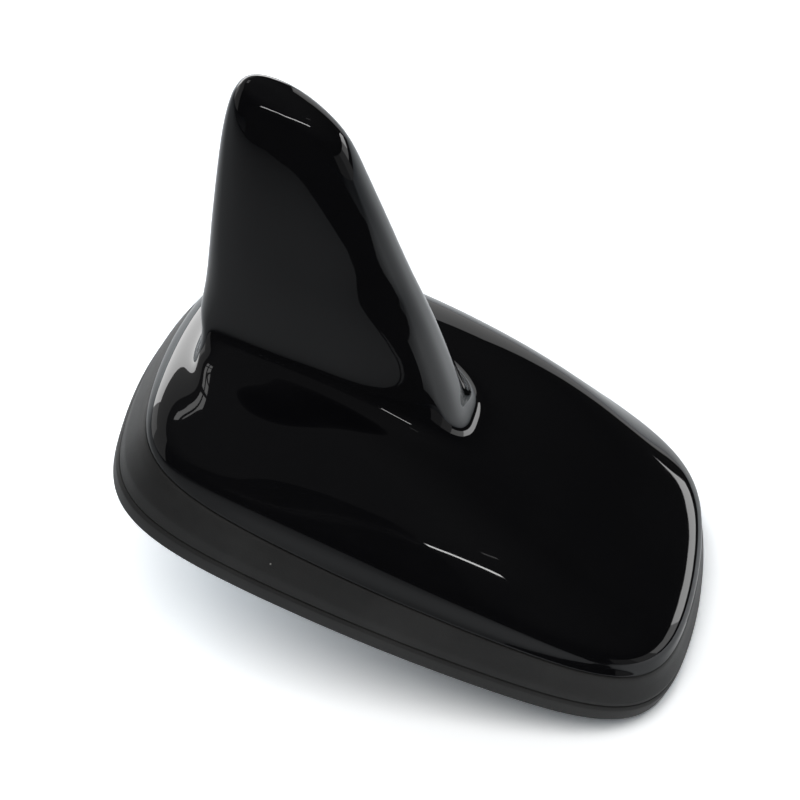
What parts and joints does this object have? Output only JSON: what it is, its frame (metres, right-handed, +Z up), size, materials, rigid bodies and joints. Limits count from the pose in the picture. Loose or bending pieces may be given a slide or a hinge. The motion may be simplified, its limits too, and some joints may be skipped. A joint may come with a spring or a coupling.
{
  "type": "roof antenna",
  "caption": "Shark-fin car roof antenna: gloss moulded fin cover on a rubber skirt, over a cast base with a boss that bolts through the roof.",
  "frame": {"origin": "on the axis of the fixing thread, where it crosses the roof skin under the rubber skirt", "axes": "+X towards the front of the car, +Z up, away from the roof"},
  "size_m": [0.1064, 0.0734, 0.0778],
  "materials": {
    "cover_gloss": "high-gloss black lacquer over moulded plastic",
    "skirt_rubber": "matte moulded rubber, dark grey",
    "seal_rubber": "soft matte rubber",
    "cast_zinc": "as die-cast, satin",
    "spring_steel": "bright rolled strip",
    "housing_plastic": "satin moulded",
    "contact_brass": "gold flashed",
    "insulator": "waxy white",
    "board_green": "solder mask over glass laminate",
    "chip_black": "moulded epoxy",
    "tin_plate": "tinned sheet",
    "screw_steel": "zinc plated",
    "pad_foam": "foam tape",
    "patch_ceramic": "fired, matte",
    "silver": "printed silver",
    "copper": "bare copper",
    "clamp_plastic": "satin moulded",
    "former_plastic": "satin moulded"
  },
  "bodies": {
    "root": {"cover": "cover_gloss", "gasket": "skirt_rubber", "base_plate": "cast_zinc", "boss_seal": "seal_rubber", "retaining_clips": "spring_steel", "connector_housings": "housing_plastic", "connector_shells": "contact_brass", "connector_insulators": "insulator", "connector_pins": "contact_brass", "main_board": "board_green", "board_chips": "chip_black", "shield_can": "tin_plate", "board_screws": "screw_steel", "cover_screws": "screw_steel", "patch_pad": "pad_foam", "patch_ceramic": "patch_ceramic", "patch_electrode": "silver", "patch_pin": "tin_plate", "fin_board": "board_green", "fin_trace": "copper", "fin_clamp": "clamp_plastic", "coil_former": "former_plastic", "coil_winding": "copper", "contact_spring": "contact_brass"}
  },
  "joints": []
}
